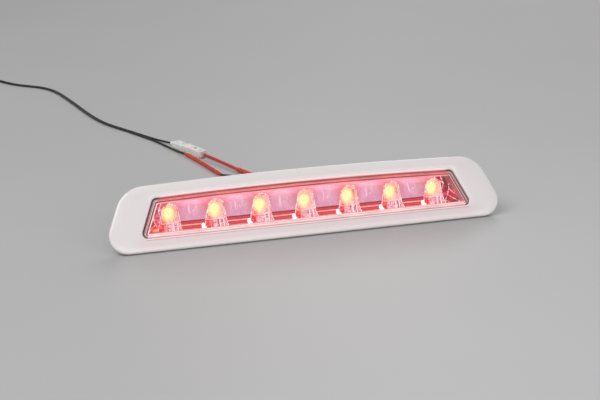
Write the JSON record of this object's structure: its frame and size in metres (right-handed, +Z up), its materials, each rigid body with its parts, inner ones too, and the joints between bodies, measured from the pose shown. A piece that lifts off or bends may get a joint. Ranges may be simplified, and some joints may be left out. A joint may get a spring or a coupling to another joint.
{
  "type": "third brake light",
  "caption": "Slim high-mount brake light: white rounded bezel, clear stepped lens, plated reflector with a row of lit LEDs, rear housing and a thin two-wire lead with connectors.",
  "frame": {"origin": "middle of the lamp's own box, at the surface it stands on, without the lead", "axes": "+X along the lamp to the viewer's right, the lamp's face looks towards -Y and leans back 30 degrees, +Z up; the lead is laid out behind it towards +Y"},
  "size_m": [0.3629, 0.4982, 0.0402],
  "materials": {
    "white_gloss": "white paint with a high gloss",
    "clear_lens": "clear moulded polycarbonate",
    "clear_optic": "clear moulded acrylic",
    "plated_chrome": "vacuum plated plastic",
    "led_body": "clear resin body, lit",
    "board_white": "white solder mask",
    "component_black": "moulded component",
    "black_plastic": "black moulded plastic with a fine grain",
    "black_rubber": "soft black rubber",
    "foam": "closed-cell foam",
    "zinc_steel": "zinc plated steel",
    "white_nylon": "natural white nylon, half matt",
    "tie_nylon": "black nylon",
    "red_vinyl": "red wire insulation",
    "red_sleeve": "red heat-shrunk sleeve",
    "black_vinyl": "black wire insulation, half gloss"
  },
  "bodies": {
    "root": {"bezel": "white_gloss", "lens": "clear_lens", "lens_bead": "black_rubber", "reflector": "plated_chrome", "led_1": "led_body", "led_2": "led_body", "led_3": "led_body", "led_4": "led_body", "led_5": "led_body", "led_6": "led_body", "led_7": "led_body", "optic_1": "clear_optic", "optic_2": "clear_optic", "optic_3": "clear_optic", "optic_4": "clear_optic", "optic_5": "clear_optic", "optic_6": "clear_optic", "optic_7": "clear_optic", "circuit_board": "board_white", "resistor_1": "component_black", "resistor_2": "component_black", "resistor_3": "component_black", "resistor_4": "component_black", "resistor_5": "component_black", "resistor_6": "component_black", "resistor_7": "component_black", "board_diode": "component_black", "board_screw_1": "zinc_steel", "board_screw_2": "zinc_steel", "housing": "black_plastic", "gasket": "foam", "housing_screw_1": "zinc_steel", "housing_screw_2": "zinc_steel", "housing_screw_3": "zinc_steel", "housing_screw_4": "zinc_steel", "mounting_stud_left": "zinc_steel", "mounting_stud_right": "zinc_steel", "vent_cap": "black_rubber", "grommet": "black_rubber", "lead_red_rear": "red_vinyl", "crimp_sleeve": "red_sleeve", "lead_red_front": "red_vinyl", "connector_socket": "white_nylon", "connector_plug": "white_nylon", "lead_black": "black_vinyl", "splice_sleeve": "red_sleeve", "leg_splice": "black_vinyl", "leg_plug": "black_vinyl", "feed_cord": "black_vinyl", "feed_tail": "black_vinyl", "feed_coil": "black_vinyl", "coil_tie": "tie_nylon", "feed_plug": "white_nylon"}
  },
  "joints": []
}
